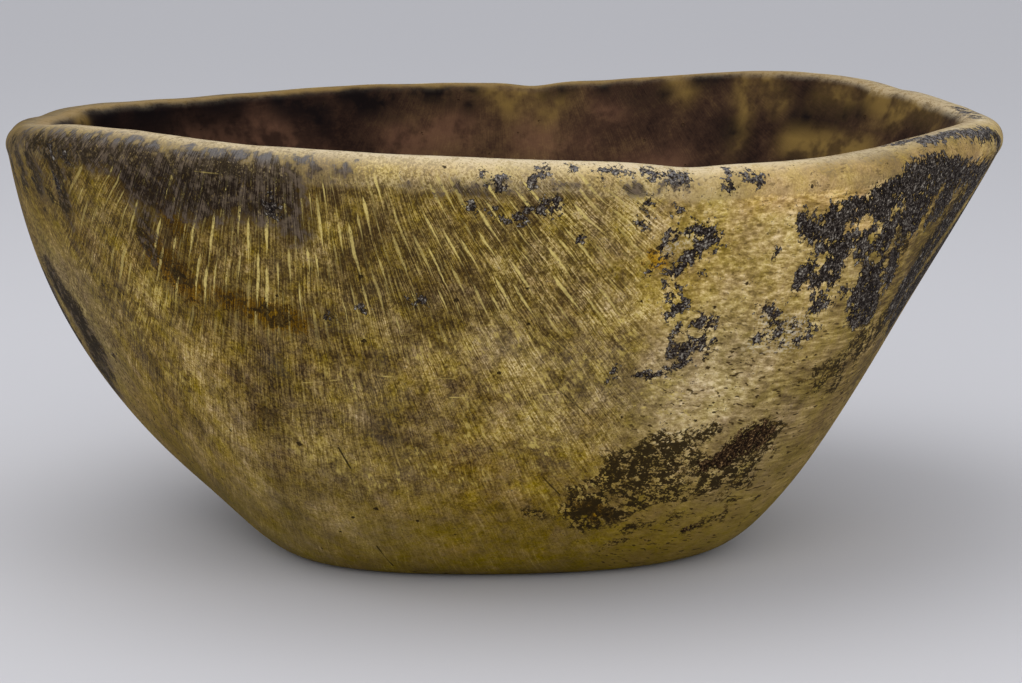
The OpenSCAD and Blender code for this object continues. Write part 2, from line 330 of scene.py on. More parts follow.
# each mark is a radius in mm and a line of places, each a side in degrees and a height in mm
bowlMarks = {
    "crust": [
        (2.6, [(144.8, 200), (145.2, 196)]), (2.0, [(148.3, 194)]), (2.4, [(142.8, 182), (142.2, 178)]),
        (2.2, [(134, 181)]), (3.2, [(175.7, 184), (175.9, 179)]),
        (5, [(113, 126), (112, 110), (114, 96)]), (1.6, [(179.8, 134)]), (1.2, [(183.9, 139)]),
        (1.4, [(130.7, 94)]), (1.7, [(189.4, 144.4), (190.5, 144)]), (2.0, [(198.3, 195), (198.6, 192)]),
        (1.8, [(197.2, 196.5)]), (1.6, [(203, 199), (201.9, 194)]), (1.8, [(206.2, 199)]),
        (2.4, [(209, 197.5), (210.6, 196.5)]), (2.2, [(212, 197), (217.4, 193.5)]), (2.0, [(217, 192)]),
        (2.4, [(222.6, 196), (222.6, 188.5)]), (2.4, [(224.6, 194.5), (225.8, 189.5)]),
        (2.4, [(203.8, 187), (202.6, 182.4)]), (1.5, [(201, 182)]),
        (1.4, [(198, 182.5), (198.9, 178.7), (200.4, 178)]), (1.4, [(204, 181)]), (1.6, [(196, 183)]),
        (1.5, [(206.8, 170), (206.9, 168)]), (2.0, [(212.6, 177), (213.4, 174)]), (1.3, [(217, 179.5)]),
        (1.5, [(213.2, 181.5)]),
        # a hooked patch under the rim
        (2.2, [(216.7, 171), (216.9, 168)]), (2.9, [(218.3, 170.5), (220.4, 171)]),
        (4.0, [(221.3, 167), (219.8, 161.7), (218.4, 155.8), (217.3, 151)]),
        (1.8, [(217, 147.5), (217.3, 141)]), (2.3, [(215.7, 164), (216.4, 160)]), (1.1, [(214.9, 152)]),
        (1.3, [(220.5, 151.5)]),
        # a ring below it, with a tail
        (2.7, [(218.8, 137), (217.8, 133.5)]),
        (2.8, [(220.8, 131), (222.2, 127.5), (222.2, 121.5), (220.4, 118), (218.6, 120)]),
        (1.7, [(219.2, 129), (218.7, 124.5)]), (2.5, [(220.6, 114.5), (220, 111)]),
        (2.0, [(219, 108), (217.7, 107), (215.9, 107), (215, 106.5)]), (1.8, [(212.4, 109)]),
        (0.8, [(211.9, 108), (211.1, 105)]), (1.2, [(223, 131.5), (223, 127)]),
        (1.2, [(224, 121), (223.2, 116)]),
        # specks by the turn to the right
        (2.8, [(229.3, 132.5), (231.2, 130.5)]), (1.9, [(230.4, 126), (234, 124)]),
        (1.4, [(229, 120.5), (236, 117)]), (1.2, [(236.5, 125), (238, 121)]), (1.6, [(229.6, 158)]),
        (2.0, [(239.4, 134.5), (236.9, 132.2)]),
        # the large patch at the right
        (6.6, [(272, 182.5), (261.7, 182.6), (255.1, 180.5)]),
        (8.4, [(262, 176), (254.8, 178), (249.8, 175.5), (246.4, 171.8)]),
        (6.4, [(246.7, 173.5), (242.2, 173), (238.5, 172.6), (236.2, 175.4)]),
        (8, [(262, 172), (254, 167), (247.6, 163)]),
        (3.4, [(231.2, 174.4), (232.8, 171.6), (234.6, 166)]),
        (5.6, [(234.4, 165.3), (236.4, 167), (238, 169.5)]),
        (8.4, [(238.8, 164), (238.8, 157), (238.2, 150.5), (237.6, 146)]),
        (3.8, [(234.8, 152.2), (233.6, 148.1), (233.3, 144.8)]),
        (8.2, [(242, 160), (245.4, 157), (248.4, 153)]), (8.8, [(245, 148), (247, 138), (248.6, 127)]),
        (8.4, [(244.6, 135), (245.6, 126)]), (6.2, [(250, 151), (251.6, 140)]),
        (2.2, [(236.6, 131.6), (239.2, 134.6), (242, 138)]),
        (10, [(275, 178), (271.5, 167.4), (268.8, 157), (265, 146), (261.6, 134), (258.6, 124)]),
        (12, [(287, 184), (284, 172), (281, 158), (277, 144), (271, 130), (264, 116)]),
        (4, [(233.2, 164.6), (236, 160)]),
        (6.5, [(243.5, 180), (247.2, 184), (251.2, 186.2), (256, 187.4), (261, 185), (265.6, 180.5)]),
        (7, [(253.3, 179.1), (261.7, 180), (270.4, 182)]),
        # black on and round the lip at the right
        (3.2, [(249.5, 199.8), (254, 200.5), (262, 200), (270.4, 197.8), (277, 195)]),
        (4.4, [(272, 199), (275.6, 196), (278.6, 190), (279, 183), (277.4, 176)]),
        (3.6, [(254, 199.6), (262.5, 201), (268, 199.8), (272, 197.6)]),
        (2.6, [(287, 203), (300.8, 204)]), (1.8, [(296, 202), (303, 204)]),
        # round the back
        (7, [(300, 182), (305, 172), (306, 160)]), (5, [(309, 176), (314, 170), (315, 158)]),
        (3.4, [(303, 150), (307, 141)]), (3, [(318, 150), (321, 146)]), (2.4, [(296, 168), (294, 160)]),
        (6, [(352, 186), (358, 180), (2, 170)]), (7.5, [(5, 176), (9, 166), (10, 152), (7, 142)]),
        (4, [(14, 158), (17, 150)]), (4.5, [(1, 150), (358, 140), (359, 131)]),
        (2.6, [(22, 170), (25, 166)]), (5, [(52, 150), (57, 142), (58, 130)]),
        (3.4, [(63, 138), (66, 131)]), (2.4, [(48, 128), (50, 121)]),
        (4, [(83, 178), (88, 172), (90, 163)]), (2.6, [(95, 168), (97, 158)]),
        # low on the right
        (8, [(235, 73), (233.4, 69.7)]), (7, [(232.4, 66.6), (230.3, 62.8)]),
        (4, [(229.4, 62), (227.4, 59)]), (1.6, [(240, 61.4)]), (1.2, [(230.5, 24.5), (233, 26.5)]),
    ],
    "bare": [   # places where the crust has come off again
        (3.0, [(266, 189.6), (270.4, 187.4)]), (1.7, [(239, 165), (243, 167.4)]),
        (2.1, [(259, 179), (257, 170.6), (255.4, 159.5), (254.6, 147), (253.4, 132)]),
        (1.7, [(240.8, 150.9), (241.3, 140)]), (1.3, [(232.8, 156.3)]),
        (1.5, [(247.2, 171), (248.8, 173.5)]), (1.6, [(220.1, 125.3)]),
        (1.9, [(249.8, 159), (248.6, 155)]), (1.2, [(241, 156), (240, 148)]),
        (2.0, [(266.6, 154), (264, 142)]), (1.7, [(235.6, 141), (239.4, 138)]),
        (1.6, [(244.4, 152), (246.4, 149)]), (1.5, [(268, 174), (270, 166)]),
        (1.5, [(243.8, 160), (245, 163)]),
    ],
    "soot": [   # soft black, rubbed into the wood
        (6.5, [(143.6, 200.5), (147.6, 199.9), (152.8, 201), (156.9, 201)]),
        (8.5, [(156.9, 199), (161.4, 197), (165.1, 195.8), (168.8, 196)]),
        (11.5, [(163.5, 194), (168.8, 193.1), (172.7, 194.3)]), (8.5, [(172.7, 194.8), (176.2, 195.6)]),
        (5.5, [(178.4, 198.4)]), (3.5, [(180.6, 199.4)]),
        (9, [(158.9, 189), (163, 186), (168, 185), (172, 186.5), (175.6, 187)]),
        (2.5, [(181, 198), (184, 198)]), (4.5, [(143, 196), (144.2, 187)]),
        (3.2, [(144.6, 179), (142.6, 171)]), (2.4, [(141, 163)]), (5, [(137.5, 197), (136.4, 190)]),
        (3.2, [(138.4, 184), (135, 178)]), (4.4, [(131.6, 195), (130.6, 188)]), (2.8, [(128.6, 180)]),
        (3.4, [(124, 190), (123, 184)]), (2.2, [(121.6, 174)]), (3, [(140.8, 199.5), (134, 200)]),
        (-0.8, [(190, 190), (198, 190.4), (206, 191.2), (213, 190.4), (219, 190.5)]),
        (3, [(159.7, 175), (158.5, 161)]), (5, [(178, 188), (177.8, 174)]),
        (6, [(121, 130), (122.4, 124)]), (10, [(122, 120), (123.4, 112)]),
        (11, [(123, 106), (123.6, 98)]), (9, [(122, 92), (120.6, 84)]), (6, [(118.6, 77), (117, 72)]),
        (10, [(113, 120), (112, 104)]), (7, [(107, 98), (104, 88)]), (5, [(99, 110), (97, 101)]),
    ],
    "brown": [  # old dark grease with clean wood showing through in specks
        (12, [(119, 131), (122.6, 120), (123.8, 110), (123.6, 99), (120.6, 86), (116, 75)]),
        (9, [(112, 120), (110, 104), (113, 92)]), (5, [(104, 132), (100, 122)]),
        (5, [(106, 96), (101, 88), (98, 76)]), (5, [(143, 196), (144.4, 188)]),
        (4, [(144.4, 179), (141, 170)]), (5.5, [(137, 197), (136, 190)]), (3.4, [(135, 181), (134, 175)]),
        (4.5, [(130.6, 195), (129.6, 188)]), (3.4, [(127.6, 180), (126, 170)]),
        (2.6, [(139, 176), (138, 170)]), (2.4, [(133, 164)]), (2, [(149, 196), (147, 186)]),
        (2.2, [(122, 184), (120, 170)]), (4, [(131, 198), (127, 194)]), (3.4, [(140, 200.5), (146, 200)]),
        (5, [(235.8, 75), (233.7, 70.7), (231, 66)]), (5, [(227.8, 72.8), (225, 74.2), (222.6, 71.5)]),
        (7, [(222.4, 68.6), (218.4, 66.8), (214.6, 64)]), (10, [(229, 61.5), (223.6, 58.5), (217.4, 56)]),
        (8, [(216.4, 49), (211.1, 45.6)]), (8, [(220.3, 46), (228.4, 49.5)]),
        (7, [(219.8, 41.1), (215.3, 37), (213.3, 31)]), (7, [(227, 62.5), (231.5, 61)]),
        (6, [(236, 67), (238.6, 72)]), (9, [(230, 56), (235, 56)]), (8, [(228, 48), (234, 46)]),
        (8, [(228, 67), (231, 64.5)]), (7, [(224.6, 68), (228, 63)]), (5, [(213.2, 56), (209.6, 50)]),
        (6, [(213.2, 43), (209.8, 37), (212.5, 30)]), (4, [(221, 29), (226.5, 33)]),
        (5, [(222, 69), (228, 76)]), (3.6, [(237.3, 47.6), (233.5, 47.4), (230.9, 45)]),
        (2.4, [(208.8, 52), (207.8, 50)]), (4, [(213.1, 35.5), (210.6, 43.3)]),
        (1.8, [(231.8, 25), (234.1, 27.7), (237, 29.8)]), (1.8, [(217.7, 19.6), (220.2, 21.4)]),
        (2, [(223.3, 22), (225.1, 24)]), (2, [(232.8, 40.6), (236.8, 39.8)]),
        (4, [(207.5, 36), (204, 39)]), (3, [(238.6, 96), (243, 103)]), (5, [(246, 104), (250, 112)]),
        (3.2, [(189.6, 144.4), (190.4, 144)]), (4.5, [(161.8, 152), (163, 147)]),
        (3, [(158.6, 160), (160.4, 156)]), (2.6, [(180, 134.5)]), (2.6, [(157.5, 164)]),
        (2.4, [(168.4, 139.8), (172.6, 135.1)]), (2.2, [(173.8, 133), (176.4, 130.5)]),
        (4, [(243.2, 95), (247.5, 88)]), (3.4, [(253, 150), (250, 158)]),
        (7, [(276, 176), (270, 158), (264, 142), (259.5, 128), (256, 114)]),
        (6, [(268, 170), (264, 156), (259, 142)]), (5, [(252, 108), (248, 98)]),
    ],
    "amber": [  # old oil and resin
        (8.5, [(159.2, 159), (160.7, 153), (162.9, 146)]), (5.5, [(168.4, 139.8), (172.6, 135.1)]),
        (5.5, [(173.8, 133), (176.4, 130.5)]), (5, [(162.6, 178), (164.1, 171)]),
        (3.5, [(215.4, 156), (214.6, 159)]), (4, [(212, 42), (215, 36)]),
    ],
    "raw": [    # clean yellow wood
        (3.8, [(225, 194), (241, 191.5), (248.8, 193.5), (255.4, 194.6), (263, 193),
               (268.4, 190.4), (270.4, 186)]),
        (3, [(239.5, 167.5), (243.5, 165.5)]), (2.4, [(257, 179), (254, 159), (251.3, 138)]),
        (8, [(226, 186), (232, 184), (239, 184)]), (4.5, [(263, 190.5), (268, 189.5), (271, 189)]),
    ],
    "grey": [   # pale dry specks
        (4.6, [(231.7, 125), (235.5, 123.4)]), (3, [(230, 131), (230.6, 126)]),
        (2.0, [(232.4, 127), (234, 115.5)]), (1.2, [(228.8, 118.8), (236, 115.6)]),
        (3.5, [(212, 198), (220, 197)]), (1.6, [(219.6, 169), (216, 163)]),
        (3, [(254.5, 203), (268, 202)]), (3, [(283, 203), (292, 203)]),
    ],
    "gold": [   # rubbed places, where short bright fibres show
        (7, [(180.4, 106), (180.7, 99)]), (8, [(177, 66), (181.3, 61.5)]),
        (9, [(179.7, 56.8), (187, 59)]), (8, [(172.6, 74.5), (176, 68)]), (9, [(196, 98), (206, 97)]),
        (9, [(198.8, 87.1), (194.9, 78)]), (9, [(205, 108), (210, 118), (213, 132)]),
        (9, [(213, 92), (219, 97)]), (9, [(190, 120), (196, 118)]), (9, [(188, 66), (194, 60)]),
        (8, [(160, 110), (152, 96)]), (10, [(206, 66), (202, 76)]), (7, [(207, 44), (212, 52)]),
        (9, [(150, 130), (158, 138)]), (8, [(200, 128), (206, 124)]), (7, [(146, 112)]),
        (7, [(222.5, 92), (219, 97)]),
    ],
    "hollowSoot": [
        (6, [(79, 194), (73.6, 190.7)]), (5, [(91.5, 197), (86, 195)]), (5, [(65.3, 196), (60, 195)]),
        (8, [(52.2, 194), (45.7, 188), (46, 183)]), (8, [(40.4, 196.5), (32.7, 195), (25, 196)]),
        (6, [(22.1, 195.8), (22.1, 188.8)]), (7, [(32.7, 189), (39.2, 186)]),
        (5, [(10.8, 197.5), (7.9, 198)]), (6, [(3, 199), (357, 197), (354, 198.5)]),
        (5, [(357.5, 192.5), (355.3, 193.4)]), (5, [(348.7, 203), (344.5, 204)]), (3, [(334.8, 203)]),
        (3.6, [(331.1, 202.4)]), (7, [(330.8, 190), (322, 190)]), (6, [(343, 180), (340.3, 178)]),
        (3, [(301.3, 198.1), (296.9, 198)]), (9, [(110, 188), (122, 186)]), (9, [(200, 184), (215, 182)]),
        (8, [(240, 186), (262, 180)]), (10, [(150, 182), (164, 186)]),
    ],
    "hollowGold": [
        (5, [(19.7, 193.5), (16.3, 190)]), (5, [(14.9, 193.9), (12.5, 192)]),
        (4, [(352.6, 203.2), (350.1, 199.9)]), (3, [(341.5, 204.6), (339.8, 189.9)]),
        (2.5, [(340, 185.6), (339, 171.3)]), (4, [(338, 206), (334.6, 196.4)]),
        (6, [(328.6, 201.8), (323.3, 200.1)]), (8, [(319.7, 200.9), (312.9, 195.8)]),
        (8, [(311.3, 199.6), (303.6, 195)]), (3.4, [(11, 186), (8.8, 192.8)]), (10, [(95, 190)]),
        (9, [(280, 190), (292, 188)]), (9, [(330, 176), (318, 172)]),
    ],
    "hollowRed": [
        (10, [(33, 170.4), (25.2, 175)]), (8, [(28.1, 179.4), (22.1, 175.1)]),
        (9, [(13.2, 169.7), (5.5, 169.9)]), (5, [(2.8, 186), (0.4, 185)]),
        (6, [(57.1, 182), (53.7, 180.1)]), (14, [(70, 170), (50, 160)]), (14, [(350, 150), (20, 140)]),
    ],
    # how soft the edge of each kind of stain is, in mm
    "softEdge": {"soot": 2.8, "amber": 1.8, "raw": 2.0, "grey": 1.2, "gold": 2.5,
                 "hollowSoot": 2.0, "hollowGold": 2.5, "hollowRed": 4.0},
    # more marks for the far sides, drawn at random: count, sides, heights, radii
    "scatter": {
        "crust": (44, (285, 470), (60, 200), (1.0, 5.0)),
        "soot": (12, (290, 470), (150, 200), (4, 9)),
        "brown": (18, (290, 470), (20, 150), (3, 8)),
        "amber": (16, (290, 470), (30, 190), (4, 10)),
        "raw": (10, (285, 470), (60, 195), (5, 9)),
        "grey": (6, (285, 470), (60, 195), (2, 5)),
        "gold": (18, (290, 470), (20, 160), (6, 10)),
        "seed": 7,
    },
    # values round the rim, one for every 30 degrees from +X by way of +Y
    "roundRim": {
        "lipPale": [0.10, 0.06, 0.10, 0.16, 0.26, 0.60, 0.84, 0.97, 0.60, 0.50, 0.60, 0.30],
        "lipTone": [0.50, 0.52, 0.50, 0.45, 0.37, 0.53, 0.66, 0.98, 0.59, 0.68, 0.60, 0.55],
        "hollowTone": [0.52, 0.52, 0.23, 0.20, 0.30, 0.42, 0.42, 0.42, 0.48, 0.56, 0.52, 0.42],
    },
    # how light the wood is: side, height, reach in mm and tone of each area, from 0 to 1
    "tone": [
        (140, 170, 50, 0.50), (150, 110, 46, 0.56), (135, 60, 50, 0.58), (130, 132, 22, 0.64),
        (160, 160, 40, 0.44), (178, 165, 40, 0.42), (195, 165, 40, 0.55), (168, 118, 34, 0.48),
        (188, 118, 22, 0.44), (178, 60, 34, 0.58), (200, 122, 24, 0.62), (208, 165, 30, 0.76),
        (213, 185, 24, 0.78), (206, 100, 28, 0.60), (212, 62, 30, 0.66), (192, 40, 40, 0.54),
        (206, 38, 20, 0.68), (222, 175, 30, 0.76), (228, 150, 34, 0.73), (233, 185, 26, 0.76),
        (225, 100, 35, 0.75), (233, 80, 26, 0.73), (229, 138, 18, 0.78), (158, 104, 18, 0.62),
        (245, 150, 35, 0.70), (267.5, 189, 7, 0.86), (252, 90, 36, 0.56), (245, 45, 40, 0.66),
        (222, 56, 24, 0.74), (215, 15, 50, 0.58), (265, 150, 40, 0.50), (160, 40, 50, 0.56),
        (190, 12, 50, 0.52), (188, 84, 22, 0.50), (170, 88, 26, 0.46), (160, 78, 24, 0.60),
        (156, 140, 22, 0.60), (182, 142, 20, 0.45), (204, 142, 20, 0.65), (144, 90, 24, 0.50),
        (166, 52, 22, 0.50), (290, 150, 60, 0.55), (320, 120, 70, 0.52), (350, 150, 60, 0.44),
        (10, 110, 60, 0.46), (45, 150, 60, 0.54), (80, 110, 70, 0.58), (110, 150, 60, 0.54),
        (300, 50, 70, 0.54), (30, 40, 80, 0.52), (90, 40, 80, 0.54),
    ],
    "strength": [    # how strong its colour is, in the same way
        (128, 118, 24, 0.82), (138, 130, 20, 0.90), (150, 110, 46, 1.04), (140, 160, 40, 1.02),
        (160, 150, 40, 1.02), (170, 60, 46, 0.93), (178, 165, 40, 1.00), (190, 110, 34, 0.97),
        (200, 30, 50, 1.03), (206, 105, 28, 0.92), (206, 132, 18, 0.96), (213, 160, 28, 1.0),
        (223, 95, 28, 0.84), (233, 80, 26, 0.86), (224, 60, 20, 0.97), (233, 160, 30, 0.96),
        (245, 100, 40, 0.92), (265, 150, 60, 0.96), (300, 110, 70, 0.96), (350, 110, 70, 0.98),
        (40, 110, 80, 0.96), (95, 110, 60, 0.98), (300, 40, 80, 1.0), (60, 40, 90, 1.0),
    ],
    # the two sides where the end of the log shows: degrees added to the side, then the sides and the
    # heights at which the ray marks begin, are full, weaken and end, and how strong they are
    "rayZones": [(0, (132, 166, 206, 217), (118, 142, 192, 199), 1.0),
                 (90, (62, 78, 110, 126), (105, 140, 192, 200), 0.7)],
    "endGrainZones": [(0, (126, 144, 210, 224)), (90, (46, 66, 122, 142))],
    # light scratches and dark cracks: half width in mm, shade from -1 to 1, two places on the outside
    "scratches": [
        (0.22, 0.8, (184.8, 107), (193, 107.9)), (0.2, 0.7, (192.5, 99.3), (205.3, 99.4)),
        (0.15, 0.55, (188, 126.8), (197.7, 131.3)), (0.15, 0.35, (168.6, 193.2), (170, 194.6)),
        (0.12, 0.3, (168.2, 194.4), (170.6, 193.8)), (0.15, 0.5, (180.9, 105.8), (181, 95.5)),
        (0.15, 0.5, (201.3, 80.6), (208.6, 72.1)), (0.15, 0.5, (175.3, 103.2), (180.4, 105.8)),
        (0.25, 0.4, (60, 120), (72, 112)), (0.25, 0.4, (330, 90), (342, 97)),
        (0.35, -0.9, (177.7, 73.8), (178.8, 63.6)), (0.35, -0.9, (177.4, 19.9), (178.2, 7.5)),
        (0.2, -0.6, (205.3, 101.1), (210.3, 88.6)), (0.25, -0.8, (204.6, 58.8), (207.6, 49.6)),
        (0.3, -0.7, (300, 60), (309, 40)), (0.3, -0.6, (95, 150), (104, 141)),
    ],
}


def placesOnWall(places, grid, kinds, inside):
    # the nearest point of the outside or of the hollow for each side and height
    chosen = [k for k, kind in enumerate(kinds)
              if kind in (("innerLip", "hollow") if inside else ("wall", "lip"))]
    wall = grid[:, chosen].reshape(-1, 3)
    side = np.arctan2(wall[:, 1], wall[:, 0])
    radius = np.hypot(wall[:, 0], wall[:, 1])
    found = []
    for degrees, height in places:
        away = (side - math.radians(degrees) + np.pi) % (2 * np.pi) - np.pi
        found.append(wall[np.argmin((away * radius) ** 2 + (wall[:, 2] - height * mm) ** 2)])
    return np.array(found)


def lineDistance(points, line):
    if len(line) == 1:
        return np.linalg.norm(points - line[0], axis=1)
    best = np.full(len(points), np.inf)
    for a, b in zip(line[:-1], line[1:]):
        step = b - a
        share = np.clip(((points - a) @ step) / max(step @ step, 1e-12), 0, 1)
        best = np.minimum(best, np.linalg.norm(points - a - share[:, None] * step, axis=1))
    return best


farOutside = -30.0


def markField(marks, points, grid, kinds, inside=False):
    # how far each point lies inside the nearest mark, in mm: negative outside it
    field = np.full(len(points), farOutside)
    for radius, places in marks:
        line = placesOnWall(places, grid, kinds, inside)
        field = np.maximum(field, radius - lineDistance(points, line) / mm)
    return field


def scatteredMarks(name, s):
    draw = np.random.default_rng([s["seed"], len(name)])
    count, sides, heights, radii = s[name]
    marks = []
    for _ in range(count):
        side, height = draw.uniform(*sides), draw.uniform(*heights)
        radius = radii[0] + (radii[1] - radii[0]) * draw.uniform() ** 2
        run = [(side, height)]
        for _ in range(draw.integers(0, 5)):
            side, height = side + draw.normal() * radius * 0.5, height - abs(draw.normal()) * radius * 1.3
            run.append((side, max(height, 10)))
        marks.append((radius, run))
    return marks


def setAttribute(mesh, name, values):
    made = mesh.attributes.new(name, "FLOAT", "POINT")
    made.data.foreach_set("value", np.asarray(values, np.float32))


print("bowl: laying out crust, stains and wear")
inHollow = np.array([kind in ("innerLip", "hollow") for kind in rowKinds])
insideShare = np.zeros(wornGrid.shape[:2])
insideShare[:, inHollow] = 1
insideShare[:, rowKinds.index("lip") + bowlShape["lipRows"] + 1] = 0.5
# the last two points of the mesh, here and below, are the middles of the foot and of the hollow's floor
insidePoint = np.append(insideShare.reshape(-1), [0.0, 1.0])


def softShare(field, width):
    return 1 / (1 + np.exp(-field / width))


outside = 1 - insidePoint
fields = {}
for name in ("crust", "brown", "soot", "amber", "raw", "grey", "gold"):
    marks = bowlMarks[name] + scatteredMarks(name, bowlMarks["scatter"])
    fields[name] = markField(marks, bowlPoints, wornGrid, rowKinds)
bareField = markField(bowlMarks["bare"], bowlPoints, wornGrid, rowKinds)
setAttribute(bowlMesh, "crust", np.minimum(fields["crust"], -bareField))
setAttribute(bowlMesh, "brown", np.where(insidePoint > 0.6, farOutside, fields["brown"]))
for name in ("soot", "amber", "raw", "grey", "gold"):
    share = softShare(fields[name], bowlMarks["softEdge"][name])
    setAttribute(bowlMesh, name, share if name == "grey" else share * outside)    # grey runs over the lip
for name in ("hollowSoot", "hollowGold", "hollowRed"):
    field = markField(bowlMarks[name], bowlPoints, wornGrid, rowKinds, inside=True)
    setAttribute(bowlMesh, name, softShare(field, bowlMarks["softEdge"][name]) * insidePoint)
setAttribute(bowlMesh, "inside", insidePoint)

gridSide = np.broadcast_to((np.arange(bowlShape["sides"]) * 2 * np.pi / bowlShape["sides"])[:, None],
                           wornGrid.shape[:2])
for name, values in bowlMarks["roundRim"].items():
    share = around(values, gridSide).reshape(-1)
    setAttribute(bowlMesh, name, np.append(share, [values[7], np.mean(values)]))

# height below the rim's own top, and length along the surface from the top of the inner lip
rimTop = wornGrid[..., 2].max(1)
below = (rimTop[:, None] - wornGrid[..., 2]) / mm
setAttribute(bowlMesh, "below", np.append(below.reshape(-1), [211.0, 180.0]))
steps = np.linalg.norm(np.diff(wornGrid, axis=1), axis=-1)
length = np.concatenate([np.zeros((len(steps), 1)), np.cumsum(steps, 1)], 1) / mm
topRow = rowKinds.index("innerLip")
fromLip = length[:, topRow:topRow + 1] - length
setAttribute(bowlMesh, "fromLip", np.append(fromLip.reshape(-1), [200.0, -200.0]))


def blended(places):
    total, weights = np.zeros(len(bowlPoints)), np.full(len(bowlPoints), 1e-6)
    for side, height, reach, value in places:
        place = placesOnWall([(side, height)], wornGrid, rowKinds, False)[0]
        weight = np.exp(-(np.linalg.norm(bowlPoints - place, axis=1) / (reach * mm)) ** 2)
        total += weight * value
        weights += weight
    return total / weights


for name in ("tone", "strength"):
    setAttribute(bowlMesh, name, blended(bowlMarks[name]))


def window(values, rise, full, stop, end):
    # 0 outside rise to end, and 1 between full and stop
    up = np.clip((values - rise) / (full - rise), 0, 1)
    down = np.clip((end - values) / (end - stop), 0, 1)
    return np.minimum(up, down)


pointSide = np.degrees(np.arctan2(bowlPoints[:, 1], bowlPoints[:, 0])) % 360
pointHeight = bowlPoints[:, 2] / mm
rayShares = [window((pointSide + turn) % 360, *sides) * window(pointHeight, *heights) * most
             for turn, sides, heights, most in bowlMarks["rayZones"]]
setAttribute(bowlMesh, "rays", np.maximum(*rayShares) * outside)
endShares = [window((pointSide + turn) % 360, *sides) for turn, sides in bowlMarks["endGrainZones"]]
setAttribute(bowlMesh, "endGrain", np.maximum(*endShares))


woodLook = {
    # the grain
    "pith": (0, 44 * mm, 317 * mm),   # a point on the middle line of the tree
    "rayTurn": 9,                     # degrees from +X to that line
    "fibreTurn": -20,                 # the fibres of the right side lie across it
    "raySpan": 0.0275,                # angle between two ray marks, in radians
    "rayLength": 26 * mm, "rayHalfWidth": 0.6 * mm,
    "thinRays": {"Spacing": 0.42, "Width": 0.45, "Length": 0.62},     # as shares of the above
    # noise over the wood: how many to a metre, detail, roughness, distortion and shift
    "noise": {
        "clouds": (17.0, 5.0, 0.6, 0.6, None), "patches": (58.0, 2.5, 0.56, 0.3, None),
        "mottle": (210.0, 2.0, 0.55, 0.0, None), "speck": (850.0, 3.0, 0.7, 0.0, None),
        "soft": (40.0, 3.0, 0.55, 0.5, None), "oldOil": (30.0, 5.0, 0.65, 0.0, (3.1, 1.7, 0.4)),
        "fineHue": (330.0, 4.0, 0.75, 0.0, (1.3, 0.2, 2.1)),
        "softHue": (75.0, 3.0, 0.6, 0.0, (0.4, 2.2, 1.7)),
    },
    # roughness, gloss and relief
    "roughness": 0.68, "patchRoughness": 0.3, "crustRoughness": 0.08, "gloss": 0.03,
    "relief": {"streak": 0.3 * mm, "patches": 0.7 * mm, "mottle": 0.4 * mm, "speck": 0.18 * mm},
    "fibreRelief": 0.2 * mm, "holeDepth": 0.8 * mm, "reliefInHollow": 0.4,
    "lipBand": (14.5, 11.5),       # mm below the rim where the paler band of the lip ends and is full
    "lipCrest": (14.0, 5.0),       # mm from the inner lip, over which its top is rubbed pale
    # plain wood from its darkest to its lightest, and what lies in it
    "ramp": [(0.0, (29, 20, 10)), (0.2, (57, 43, 20)), (0.4, (89, 71, 31)), (0.56, (118, 98, 43)),
             (0.72, (150, 127, 64)), (0.86, (184, 160, 96)), (1.0, (218, 196, 138))],
    "hue": 0.497, "golden": (160, 128, 26), "grey": (112, 103, 86), "raw": (188, 158, 84),
    "green": (112, 97, 28),
    "rayMark": (200, 180, 108), "rayGap": (56, 42, 20), "goldFibre": (190, 168, 92),
    "hole": (34, 24, 14), "scratch": (196, 174, 98), "crack": (34, 26, 12),
    "lipTan": (152, 135, 104), "lipTop": (196, 180, 150), "lipFar": (122, 97, 50),
    # what lies on it
    "amber": (246, 220, 112), "amberDark": (44, 28, 8), "brown": (38, 29, 14), "brownLight": (96, 76, 34),
    # the soot's grey dust turns near the lip to a painted bluish sheen
    "soot": (26, 19, 17), "sootGrey": (90, 78, 67), "sootSheen": (94, 92, 94), "greySpeck": (172, 165, 150),
    # crust from black up: its palest stops are painted glints of light on the grains, partly pale grey
    # specks
    "crust": [(0.28, (15, 11, 10)), (0.46, (33, 27, 24)), (0.58, (60, 53, 48)), (0.70, (110, 103, 94)),
              (0.85, (176, 170, 156))],
    # grey dust on the crust near the lip, partly painted glints of light
    "crustDustAndGlints": (122, 119, 120), "warm": (255, 216, 160),
    # the hollow
    "hollow": [(0.0, (14, 8, 7)), (0.3, (32, 20, 16)), (0.5, (54, 37, 27)), (0.7, (82, 62, 40)),
               (0.85, (114, 92, 54)), (1.0, (150, 126, 82))],
    "hollowSoot": (16, 11, 12), "hollowGold": (116, 93, 48), "hollowRed": (101, 71, 54),
}


def grainAxes(tree, position, turn, pith):
    # along the trunk, across it, and down from its middle
    moved = vectorCalc(tree, "SUBTRACT", position, pith)
    turned = addNode(tree, "ShaderNodeVectorRotate", {"Vector": moved, "Angle": -math.radians(turn)},
                     rotation_type="Z_AXIS").outputs[0]
    return addNode(tree, "ShaderNodeSeparateXYZ", {"Vector": turned}).outputs


